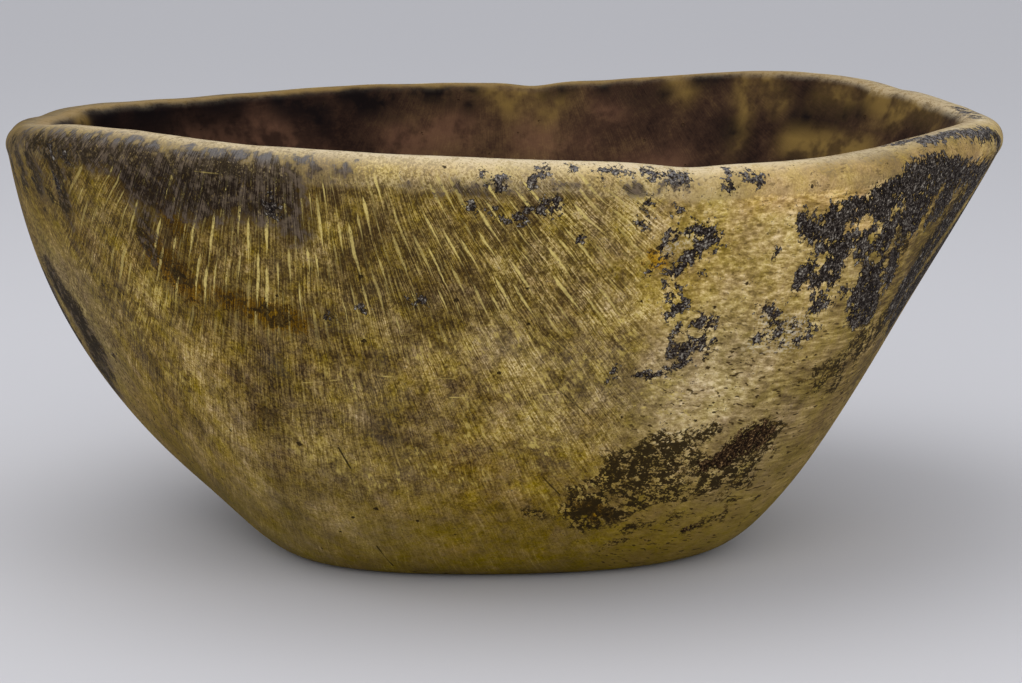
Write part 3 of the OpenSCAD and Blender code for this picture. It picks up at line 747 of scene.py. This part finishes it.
def makeRayGroup(look):
    tree, start, end = startGroup("rayMarks", {"Position": (0, 0, 0), "Spacing": 1.0, "Width": 1.0,
                                               "Length": 1.0}, ["Mark", "Streak", "Dashes"])
    position = start["Position"]
    along, across, down = grainAxes(tree, position, look["rayTurn"], look["pith"])
    plainAngle = calc(tree, "ARCTAN2", across, times(tree, down, -1.0))
    radius = calc(tree, "SQRT", plus(tree, times(tree, across, across), times(tree, down, down)))
    angle = plus(tree, plainAngle, centred(tree, noiseValue(tree, position, 26.0), 0.03),
                 centred(tree, noiseValue(tree, position, 330.0), 0.004))
    # the marks stand in columns by angle and in rows by radius, and each cell draws its own numbers
    column = calc(tree, "DIVIDE", calc(tree, "DIVIDE", angle, look["raySpan"]), start["Spacing"])
    columnIndex = calc(tree, "FLOOR", column)
    columnRandom = addNode(tree, "ShaderNodeTexWhiteNoise", {"W": columnIndex}, noise_dimensions="1D")
    row = calc(tree, "DIVIDE", calc(tree, "DIVIDE", radius, look["rayLength"]), start["Length"])
    row = plus(tree, row, columnRandom.outputs["Value"])
    cell = combine(tree, columnIndex, calc(tree, "FLOOR", row), 0.0)
    cellRandom = addNode(tree, "ShaderNodeTexWhiteNoise", {"Vector": cell}, noise_dimensions="3D").outputs
    first, second, third = addNode(tree, "ShaderNodeSeparateColor", {"Color": cellRandom["Color"]}).outputs
    # place across the mark, in metres
    middle = remap(tree, first, 0, 1, 0.34, 0.66, False)
    offset = calc(tree, "SUBTRACT", calc(tree, "FRACT", column), middle)
    columnWidth = times(tree, start["Spacing"], look["raySpan"])
    sideways = calc(tree, "ABSOLUTE", times(tree, times(tree, offset, radius), columnWidth))
    # a mark is blunt at one end and runs out to a point at the other
    place = calc(tree, "FRACT", row)
    reach = remap(tree, second, 0, 1, 0.42, 1.05, False)
    blunt = times(tree, place, 7.0)
    sharp = times(tree, calc(tree, "SUBTRACT", reach, place), 2.2)
    taper = calc(tree, "MINIMUM", calc(tree, "MINIMUM", blunt, sharp), 1.0, clamp=True)
    width = times(tree, start["Width"], look["rayHalfWidth"])
    half = times(tree, taper, times(tree, remap(tree, third, 0, 1, 0.45, 1.35, False), width))
    mark = remap(tree, calc(tree, "SUBTRACT", half, sideways), -0.18 * mm, 0.3 * mm)
    broken = remap(tree, noiseValue(tree, position, 700.0, 2.0, 0.6), 0.34, 0.54, 0.55, 1.0)
    present = remap(tree, cellRandom["Value"], 0.05, 0.3, 0.15, 1.0, False)
    feed(tree, end["Mark"], times(tree, mark, present, broken))

    # finer streaks that run the same way, long ones and short ones
    def streaks(angle, across, down, detail, roughness):
        place = combine(tree, times(tree, angle, across), times(tree, radius, down),
                        times(tree, along, down))
        return noiseValue(tree, place, 1.0, detail, roughness)

    feed(tree, end["Streak"], streaks(angle, 400.0, 58.0, 3.0, 0.62))
    feed(tree, end["Dashes"], streaks(plainAngle, 150.0, 170.0, 2.0, 0.6))
    return tree


def makeFibreGroup(look):
    tree, start, end = startGroup("fibres", {"Position": (0, 0, 0)}, ["Fibre", "Pits", "Dashes"])
    along, across, down = grainAxes(tree, start["Position"], look["fibreTurn"], look["pith"])

    def stretched(lengthScale, widthScale, detail):
        place = combine(tree, times(tree, along, lengthScale), times(tree, across, widthScale),
                        times(tree, down, widthScale))
        return noiseValue(tree, place, 1.0, detail, 0.66)

    feed(tree, end["Fibre"], stretched(48.0, 560.0, 3.0))
    feed(tree, end["Pits"], remap(tree, stretched(150.0, 560.0, 1.0), 0.62, 0.70))
    feed(tree, end["Dashes"], stretched(190.0, 640.0, 2.0))
    return tree


def makeCrustGroup():
    tree, start, end = startGroup("crustSkin", {"Position": (0, 0, 0), "Field": 0.0},
                                  ["Mask", "Grain", "Height"])
    position = start["Position"]
    coarse = noiseValue(tree, position, 110.0, 3.0, 0.6)
    medium = noiseValue(tree, position, 290.0, 2.0, 0.6)
    fine = noiseValue(tree, position, 620.0, 3.0, 0.75)
    small = noiseValue(tree, position, 980.0, 2.0, 0.7)
    ragged = plus(tree, centred(tree, coarse, 8.0), centred(tree, medium, 15.0), centred(tree, fine, 13.0))
    # deep inside a patch the field is held, so small gaps open there too
    held = calc(tree, "MINIMUM", start["Field"], 3.4)
    mask = remap(tree, plus(tree, held, ragged), -0.2, 0.8)
    feed(tree, end["Mask"], mask)
    grain = plus(tree, times(tree, small, 0.6), times(tree, medium, 0.4))
    grain = plus(tree, 0.5, centred(tree, grain, 1.9))
    feed(tree, end["Grain"], grain)
    swell = plus(tree, 0.35, plus(tree, centred(tree, grain, 1.4), fine))
    feed(tree, end["Height"], times(tree, mask, 0.6 * mm, swell))
    return tree


def makeHoleGroup():
    tree, start, end = startGroup("beetleHoles", {"Position": (0, 0, 0), "Scale": 76.0, "Radius": 1 * mm},
                                  ["Hole"])
    cells = addNode(tree, "ShaderNodeTexVoronoi", {"Vector": start["Position"], "Scale": start["Scale"]},
                    feature="F1").outputs
    away = calc(tree, "DIVIDE", cells["Distance"], start["Scale"])
    size = addNode(tree, "ShaderNodeSeparateColor", {"Color": cells["Color"]}).outputs[1]
    uneven = centred(tree, noiseValue(tree, start["Position"], 900.0, 1.0), 1.2 * mm)
    reach = plus(tree, times(tree, start["Radius"], remap(tree, size, 0, 1, 0.3, 1.25, False)), uneven)
    feed(tree, end["Hole"], remap(tree, calc(tree, "SUBTRACT", reach, away), -0.1 * mm, 0.25 * mm))
    return tree


def makeScratchGroup():
    tree, start, end = startGroup("scratch", {"Position": (0, 0, 0), "From": (0, 0, 0), "To": (0, 0, 0),
                                              "Half Width": 0.3 * mm}, ["Scratch"])
    step = vectorCalc(tree, "SUBTRACT", start["To"], start["From"])
    here = vectorCalc(tree, "SUBTRACT", start["Position"], start["From"])
    share = calc(tree, "DIVIDE", vectorCalc(tree, "DOT_PRODUCT", here, step),
                 vectorCalc(tree, "DOT_PRODUCT", step, step), clamp=True)
    nearest = addNode(tree, "ShaderNodeVectorMath", {"Vector": step, "Scale": share}, operation="SCALE")
    away = vectorCalc(tree, "LENGTH", vectorCalc(tree, "SUBTRACT", here, nearest.outputs[0]))
    depth = calc(tree, "SUBTRACT", start["Half Width"], away)
    feed(tree, end["Scratch"], remap(tree, depth, -0.3 * mm, 0.1 * mm))
    return tree


def paint(tree, amount, colour, tint, mode="MIX"):
    # tint is a colour of the dictionary, or the output of a node
    return blendColours(tree, amount, colour, srgb(*tint) if isinstance(tint, tuple) else tint, mode)


def stirred(tree, wood, value, **amounts):
    # adds noises to a value, each up to half its amount either way
    return plus(tree, value, *[centred(tree, wood[name], amount) for name, amount in amounts.items()])


def byGrain(tree, wood, ends, sides):
    return blendValues(tree, wood["endGrain"], sides, ends)


def woodFields(tree, look):
    # every value over the surface that the steps below work with
    wood = {made.name: attributeValue(tree, made.name) for made in bowlMesh.attributes
            if made.data_type == "FLOAT" and made.domain == "POINT"}
    position = addNode(tree, "ShaderNodeTexCoord").outputs["Object"]
    wood["position"] = position
    wood["height"] = addNode(tree, "ShaderNodeSeparateXYZ", {"Vector": position}).outputs["Z"]
    for name, (scale, detail, roughness, distortion, shift) in look["noise"].items():
        place = vectorCalc(tree, "ADD", position, shift) if shift else position
        wood[name] = noiseValue(tree, place, scale, detail, roughness, distortion)
    rayGroup = makeRayGroup(look)
    rays = useGroup(tree, rayGroup, {"Position": position})
    moved = vectorCalc(tree, "ADD", position, (0.011, 0.007, 0.003))
    thinRays = useGroup(tree, rayGroup, {"Position": moved, **look["thinRays"]})
    fibres = useGroup(tree, makeFibreGroup(look), {"Position": position})
    wood["endGrain"] = remap(tree, stirred(tree, wood, wood["endGrain"], clouds=1.2), 0.3, 0.7)
    wood["sideGrain"] = calc(tree, "SUBTRACT", 1.0, wood["endGrain"])
    wood["rayMark"], wood["thinRayMark"], wood["pits"] = rays["Mark"], thinRays["Mark"], fibres["Pits"]
    wood["streak"] = byGrain(tree, wood, rays["Streak"], fibres["Fibre"])
    wood["dashes"] = byGrain(tree, wood, rays["Dashes"], fibres["Dashes"])
    wood["band"] = remap(tree, stirred(tree, wood, wood["below"], patches=7.0, speck=7.0), *look["lipBand"])
    wood["nearLip"] = remap(tree, wood["fromLip"], 17.0, 11.0)
    return wood


def onBand(tree, wood, value):
    # 1 on the wall and this value on the band of the lip
    return remap(tree, wood["band"], 0, 1, 1.0, value)


def plainWood(tree, wood, look):
    # dark and light first: the band of the lip is paler than the wall, and low down the wood is rubbed even
    tone = blendValues(tree, times(tree, wood["band"], 0.85), wood["tone"], wood["lipTone"])
    streak = times(tree, centred(tree, wood["streak"], 1.2), byGrain(tree, wood, 1.0, 0.9),
                   remap(tree, wood["height"], 0.03, 0.13, 0.62, 1.0), onBand(tree, wood, 0.25))
    speck = times(tree, centred(tree, wood["speck"], 1.25), byGrain(tree, wood, 1.0, 0.36),
                  onBand(tree, wood, 1.7))
    mixed = plus(tree, centred(tree, wood["clouds"], 0.7),
                 times(tree, centred(tree, wood["patches"], 0.72), byGrain(tree, wood, 1.0, 0.6)),
                 times(tree, centred(tree, wood["mottle"], 0.6), byGrain(tree, wood, 1.0, 0.45)),
                 streak, speck)
    mixed = times(tree, mixed, remap(tree, wood["height"], 0.03, 0.10, 0.72, 1.0))
    shade = plus(tree, tone, 0.008, mixed, times(tree, wood["raw"], 0.08), times(tree, wood["amber"], 0.09))
    colour = colourRamp(tree, shade, look["ramp"])

    # golden, grey, raw and green parts
    golden = times(tree, remap(tree, wood["oldOil"], 0.5, 0.68), byGrain(tree, wood, 0.18, 0.08))
    colour = paint(tree, golden, colour, look["golden"], "OVERLAY")
    grey = times(tree, remap(tree, wood["oldOil"], 0.47, 0.36), byGrain(tree, wood, 0.22, 0.12))
    colour = paint(tree, grey, colour, paint(tree, 0.5, colour, look["grey"]))
    colour = paint(tree, times(tree, wood["raw"], 0.35), colour, look["raw"], "OVERLAY")
    low = remap(tree, stirred(tree, wood, wood["height"], patches=0.03), 0.06, 0.005)
    colour = paint(tree, times(tree, low, 0.5), colour, look["green"])

    # small changes of hue and strength, as in oiled and handled wood
    change = plus(tree, centred(tree, wood["fineHue"], 0.4), centred(tree, wood["softHue"], 0.5))
    strength = plus(tree, wood["strength"], -0.01, times(tree, change, byGrain(tree, wood, 1.0, 0.6)))
    hue = stirred(tree, wood, look["hue"], softHue=0.035, fineHue=0.02)
    colour = addNode(tree, "ShaderNodeHueSaturation", {"Hue": hue, "Saturation": strength,
                                                       "Color": colour}).outputs[0]
    return paint(tree, times(tree, wood["band"], wood["lipPale"], 0.45), colour, look["lipTan"])


def markedWood(tree, wood, look, colour):
    # a darker ground, on which the ray marks stand
    ground = plus(tree, times(tree, wood["streak"], 0.4), times(tree, wood["mottle"], 0.3),
                  times(tree, wood["speck"], 0.3))
    gap = times(tree, wood["rays"], wood["endGrain"], remap(tree, ground, 0.58, 0.42, 0.16, 0.72))
    colour = paint(tree, gap, colour, look["rayGap"])

    # old oil, with dark specks in it
    amber = remap(tree, stirred(tree, wood, wood["amber"], patches=0.9, mottle=1.8, speck=1.2), 0.3, 0.7)
    amber = times(tree, amber, remap(tree, wood["amber"], 0.02, 0.2))
    colour = paint(tree, amber, colour, look["amber"], "MULTIPLY")
    dark = remap(tree, stirred(tree, wood, wood["speck"], mottle=1.2), 0.55, 0.61)
    colour = paint(tree, times(tree, amber, dark, 0.8), colour, look["amberDark"])

    # thin and full ray marks, pits of the side grain, rubbed fibres
    light = remap(tree, wood["patches"], 0.32, 0.54, 0.55, 1.0)
    thin = times(tree, wood["thinRayMark"], remap(tree, wood["rays"], 0, 1, 0.2, 0.3), wood["endGrain"],
                 light)
    colour = paint(tree, thin, colour, look["rayMark"])
    colour = paint(tree, times(tree, wood["rayMark"], wood["rays"], light, 0.92), colour, look["rayMark"])
    pits = times(tree, wood["pits"], wood["sideGrain"], remap(tree, wood["below"], 50, 90, 0.45, 0.95))
    colour = paint(tree, pits, colour, look["rayGap"])
    gold = times(tree, wood["gold"], remap(tree, wood["dashes"], 0.52, 0.64),
                 remap(tree, wood["mottle"], 0.42, 0.6, 0.1, 0.8))
    colour = paint(tree, gold, colour, look["goldFibre"])

    # dots and dry specks
    dots = plus(tree, stirred(tree, wood, wood["speck"], mottle=0.5), times(tree, wood["amber"], 0.15))
    colour = paint(tree, times(tree, remap(tree, dots, 0.645, 0.70), 0.75), colour, look["hole"])
    grey = times(tree, wood["grey"], remap(tree, stirred(tree, wood, wood["speck"], streak=0.8), 0.48, 0.6))
    return paint(tree, times(tree, grey, 0.85), colour, look["greySpeck"])


def rubbedCrest(tree, wood, look):
    rubbed = remap(tree, stirred(tree, wood, wood["fromLip"], mottle=9.0, speck=14.0), *look["lipCrest"])
    inner = remap(tree, stirred(tree, wood, wood["fromLip"], patches=5.0), -8.5, -2.0)
    broken = remap(tree, stirred(tree, wood, wood["mottle"], speck=1.4), 0.36, 0.52, 0.4, 1.0)
    return times(tree, times(tree, rubbed, inner, broken), wood["lipPale"])


def hollowWood(tree, wood, look):
    # dark, smooth and rubbed
    tone = stirred(tree, wood, wood["hollowTone"], clouds=0.5, soft=0.55, streak=0.35, mottle=0.3,
                   speck=0.3)
    colour = colourRamp(tree, tone, look["hollow"])
    broken = remap(tree, stirred(tree, wood, wood["soft"], patches=0.5, mottle=0.35), 0.36, 0.6, 0.3, 1.0)
    for name, most in (("hollowRed", 0.75), ("hollowGold", 0.95), ("hollowSoot", 1.0)):
        colour = paint(tree, times(tree, wood[name], broken, most), colour, look[name])
    edge = remap(tree, stirred(tree, wood, wood["fromLip"], patches=5.0), -6.0, -1.4)
    return paint(tree, times(tree, edge, 0.85), colour, look["lipFar"])


def sootOver(tree, wood, look, colour):
    streak = times(tree, centred(tree, wood["streak"], 1.7), onBand(tree, wood, 0.2))
    field = stirred(tree, wood, wood["soot"], clouds=0.8, patches=1.5, mottle=2.3, speck=1.5)
    gaps = remap(tree, stirred(tree, wood, wood["dashes"], speck=0.9), 0.72, 0.62, 0.6, 1.0)
    rubbedOff = remap(tree, stirred(tree, wood, wood["fromLip"], mottle=10.0), 6.0, 11.0, 0.08, 0.93)
    amount = times(tree, remap(tree, plus(tree, field, streak), 0.18, 0.7), gaps,
                   remap(tree, wood["soot"], 0.02, 0.25), rubbedOff)
    # pale grains in the soot: grey dust, and near the lip a painted bluish sheen
    dustAndSheen = plus(tree, times(tree, wood["streak"], 0.45), times(tree, wood["mottle"], 0.4),
                times(tree, wood["speck"], 0.15), times(tree, wood["nearLip"], 0.04))
    dustAndSheenColour = paint(tree, wood["nearLip"], srgb(*look["sootGrey"]), look["sootSheen"])
    sootColour = blendColours(tree, remap(tree, dustAndSheen, 0.47, 0.61), srgb(*look["soot"]), dustAndSheenColour)
    return blendColours(tree, amount, colour, sootColour)


def greaseOver(tree, wood, look, colour):
    held = calc(tree, "MINIMUM", wood["brown"], 4.6)
    field = stirred(tree, wood, held, patches=28.0, mottle=23.0, speck=13.0)
    gaps = remap(tree, stirred(tree, wood, wood["mottle"], dashes=0.9, speck=0.8), 0.64, 0.56, 0.05, 0.97)
    light = remap(tree, stirred(tree, wood, wood["mottle"], speck=0.8), 0.5, 0.7)
    brown = paint(tree, light, srgb(*look["brown"]), look["brownLight"])
    return blendColours(tree, times(tree, remap(tree, field, -1.0, 1.2), gaps), colour, brown)


def crustOver(tree, wood, look, crust, colour):
    # the crust's pale grains are partly painted glints of light, put into its colour by the ramp
    crustAndGlints = colourRamp(tree, crust["Grain"], look["crust"])
    # grey grains on the crust near the lip: partly dust, partly painted glints of light
    dustAndSheen = times(tree, wood["nearLip"], remap(tree, wood["speck"], 0.45, 0.6), 0.75)
    crustAndGlints = paint(tree, dustAndSheen, crustAndGlints, look["crustDustAndGlints"])
    crustAndGlints = paint(tree, remap(tree, wood["height"], 0.105, 0.085), crustAndGlints, look["warm"], "MULTIPLY")
    return blendColours(tree, crust["Mask"], colour, crustAndGlints)


def scratchesOver(tree, wood, look, colour):
    group = makeScratchGroup()
    lines = {1: 0.0, -1: 0.0}
    for half, shade, first, second in bowlMarks["scratches"]:
        start, stop = placesOnWall([first, second], wornGrid, rowKinds, False)
        line = useGroup(tree, group, {"Position": wood["position"], "From": tuple(start), "To": tuple(stop),
                                      "Half Width": half * mm})["Scratch"]
        sign = 1 if shade > 0 else -1
        lines[sign] = calc(tree, "MAXIMUM", lines[sign], times(tree, line, abs(shade)))
    # the light ones are broken up along their length
    light = times(tree, lines[1], remap(tree, wood["mottle"], 0.38, 0.52, 0.3, 1.0))
    return paint(tree, lines[-1], paint(tree, light, colour, look["scratch"]), look["crack"])


def makeWood(look):
    material = bpy.data.materials.new("wornWood")
    material.use_nodes = True
    tree = material.node_tree
    tree.nodes.clear()
    wood = woodFields(tree, look)
    crust = useGroup(tree, makeCrustGroup(), {"Position": wood["position"], "Field": wood["crust"]})
    holes = useGroup(tree, makeHoleGroup(), {"Position": wood["position"]})["Hole"]

    pale = rubbedCrest(tree, wood, look)
    outside = paint(tree, pale, markedWood(tree, wood, look, plainWood(tree, wood, look)), look["lipTop"])
    hollow = paint(tree, pale, hollowWood(tree, wood, look), look["lipTop"])
    colour = blendColours(tree, remap(tree, wood["inside"], 0.3, 0.9), outside, hollow)
    colour = sootOver(tree, wood, look, colour)
    colour = greaseOver(tree, wood, look, colour)
    colour = crustOver(tree, wood, look, crust, colour)
    holesHere = times(tree, holes, remap(tree, wood["inside"], 0.2, 0.8, 0.9, 0.3))
    colour = paint(tree, holesHere, colour, look["hole"])
    colour = scratchesOver(tree, wood, look, colour)

    rough = plus(tree, look["roughness"], centred(tree, wood["patches"], look["patchRoughness"]),
                 times(tree, crust["Mask"], look["crustRoughness"]))
    relief = plus(tree, *[times(tree, wood[name], height) for name, height in look["relief"].items()],
                  times(tree, wood["dashes"], wood["sideGrain"], look["fibreRelief"]))
    relief = times(tree, relief, byGrain(tree, wood, 0.9, 0.4),
                   remap(tree, wood["inside"], 0.3, 0.9, 1.0, look["reliefInHollow"]))
    relief = plus(tree, relief, crust["Height"], times(tree, holes, -look["holeDepth"]))
    bump = addNode(tree, "ShaderNodeBump", {"Strength": 1.0, "Distance": 1.0, "Height": relief}).outputs[0]
    shader = addNode(tree, "ShaderNodeBsdfPrincipled", {
        "Base Color": colour, "Roughness": rough, "Normal": bump, "Specular IOR Level": look["gloss"]})
    arrange(tree, addNode(tree, "ShaderNodeOutputMaterial", {"Surface": shader.outputs[0]}))
    return material


def arrange(tree, last):
    # sets the nodes out in columns, from the output back
    column = {last.name: 0}
    queue = [last]
    while queue:
        here = queue.pop(0)
        for socket in here.inputs:
            for link in socket.links:
                if column.get(link.from_node.name, -1) < column[here.name] + 1:
                    column[link.from_node.name] = column[here.name] + 1
                    queue.append(link.from_node)
    filled = {}
    for made in tree.nodes:
        place = column.get(made.name, 0)
        filled[place] = filled.get(place, 0) + 1
        made.location = (-220 * place, -180 * filled[place])


print("bowl: making the wood")
bowlMesh.materials.append(makeWood(woodLook))
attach(bowl, "root")
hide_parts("bowl")


stageLook = {"floor": (187, 187, 192), "roughness": 0.8, "halfWidth": 14.0}


def makeStage(s):
    # one flat floor, wide enough to fill the picture from any height above the rim
    edge = s["halfWidth"]
    mesh = bpy.data.meshes.new("floor")
    corners = [(-edge, -edge, 0), (edge, -edge, 0), (edge, edge, 0), (-edge, edge, 0)]
    mesh.from_pydata(corners, [], [(0, 1, 2, 3)])
    floor = bpy.data.objects.new("floor", mesh)
    bpy.context.scene.collection.objects.link(floor)
    material = bpy.data.materials.new("paleFloor")
    material.use_nodes = True
    shader = material.node_tree.nodes["Principled BSDF"]
    shader.inputs["Base Color"].default_value = srgb(*s["floor"])
    shader.inputs["Roughness"].default_value = s["roughness"]
    mesh.materials.append(material)


lampSet = {
    # name: place, aimed at, size, watts, colour
    "overhead": ((-0.3, 0.5, 1.9), (0, 0, 0.1), 2.0, 13.5, (1.0, 0.99, 0.97)),
    "front": ((-1.9, -0.2, 0.75), (0, 0, 0.06), 1.6, 11, (1.0, 0.99, 0.98)),
    "right": ((-0.6, -1.9, 0.7), (0, 0, 0.08), 1.2, 7, (1.0, 0.98, 0.95)),
}
worldLight = {"colour": (0.97, 0.98, 1.0, 1), "strength": 0.94}


def makeLamps(s):
    for name, (place, target, size, watts, colour) in s.items():
        data = bpy.data.lights.new(name, "AREA")
        data.shape, data.size, data.energy, data.color = "DISK", size, watts, colour
        lamp = bpy.data.objects.new(name, data)
        bpy.context.scene.collection.objects.link(lamp)
        lamp.location = place
        heading = np.array(target) - np.array(place)
        lamp.rotation_euler = (math.atan2(math.hypot(heading[0], heading[1]), -heading[2]), 0,
                               math.atan2(heading[1], heading[0]) - math.pi / 2)


def makeWorld(s):
    # the camera sees the floor's colour behind the bowl, and the bowl is lit by a soft white
    world = bpy.data.worlds.new("softDaylight")
    world.use_nodes = True
    tree = world.node_tree
    tree.nodes.clear()
    light = addNode(tree, "ShaderNodeBackground", {"Color": s["colour"], "Strength": s["strength"]})
    seen = addNode(tree, "ShaderNodeBackground", {"Color": srgb(*stageLook["floor"]), "Strength": 1.0})
    path = addNode(tree, "ShaderNodeLightPath").outputs
    direct = calc(tree, "MAXIMUM", path["Is Camera Ray"], calc(tree, "MAXIMUM", path["Is Glossy Ray"],
                                                              path["Is Transmission Ray"]))
    mixed = addNode(tree, "ShaderNodeMixShader", {"Fac": direct})
    tree.links.new(light.outputs[0], mixed.inputs[1])
    tree.links.new(seen.outputs[0], mixed.inputs[2])
    addNode(tree, "ShaderNodeOutputWorld", {"Surface": mixed.outputs[0]})
    bpy.context.scene.world = world


cameraSet = {"place": (-1.2970, -0.4289, 0.3112), "heading": 18.0, "tilt": 9.23, "lens": 98.63}


def makeCamera(s):
    data = bpy.data.cameras.new("camera")
    data.lens, data.sensor_width = s["lens"], 36
    camera = bpy.data.objects.new("camera", data)
    camera.location = s["place"]
    camera.rotation_euler = (math.radians(90 - s["tilt"]), 0, math.radians(s["heading"] - 90))
    bpy.context.scene.collection.objects.link(camera)
    bpy.context.scene.camera = camera


print("stage: floor, lamps and camera")
makeStage(stageLook)
makeLamps(lampSet)
makeWorld(worldLight)
makeCamera(cameraSet)
bpy.context.scene.view_settings.view_transform = "Standard"
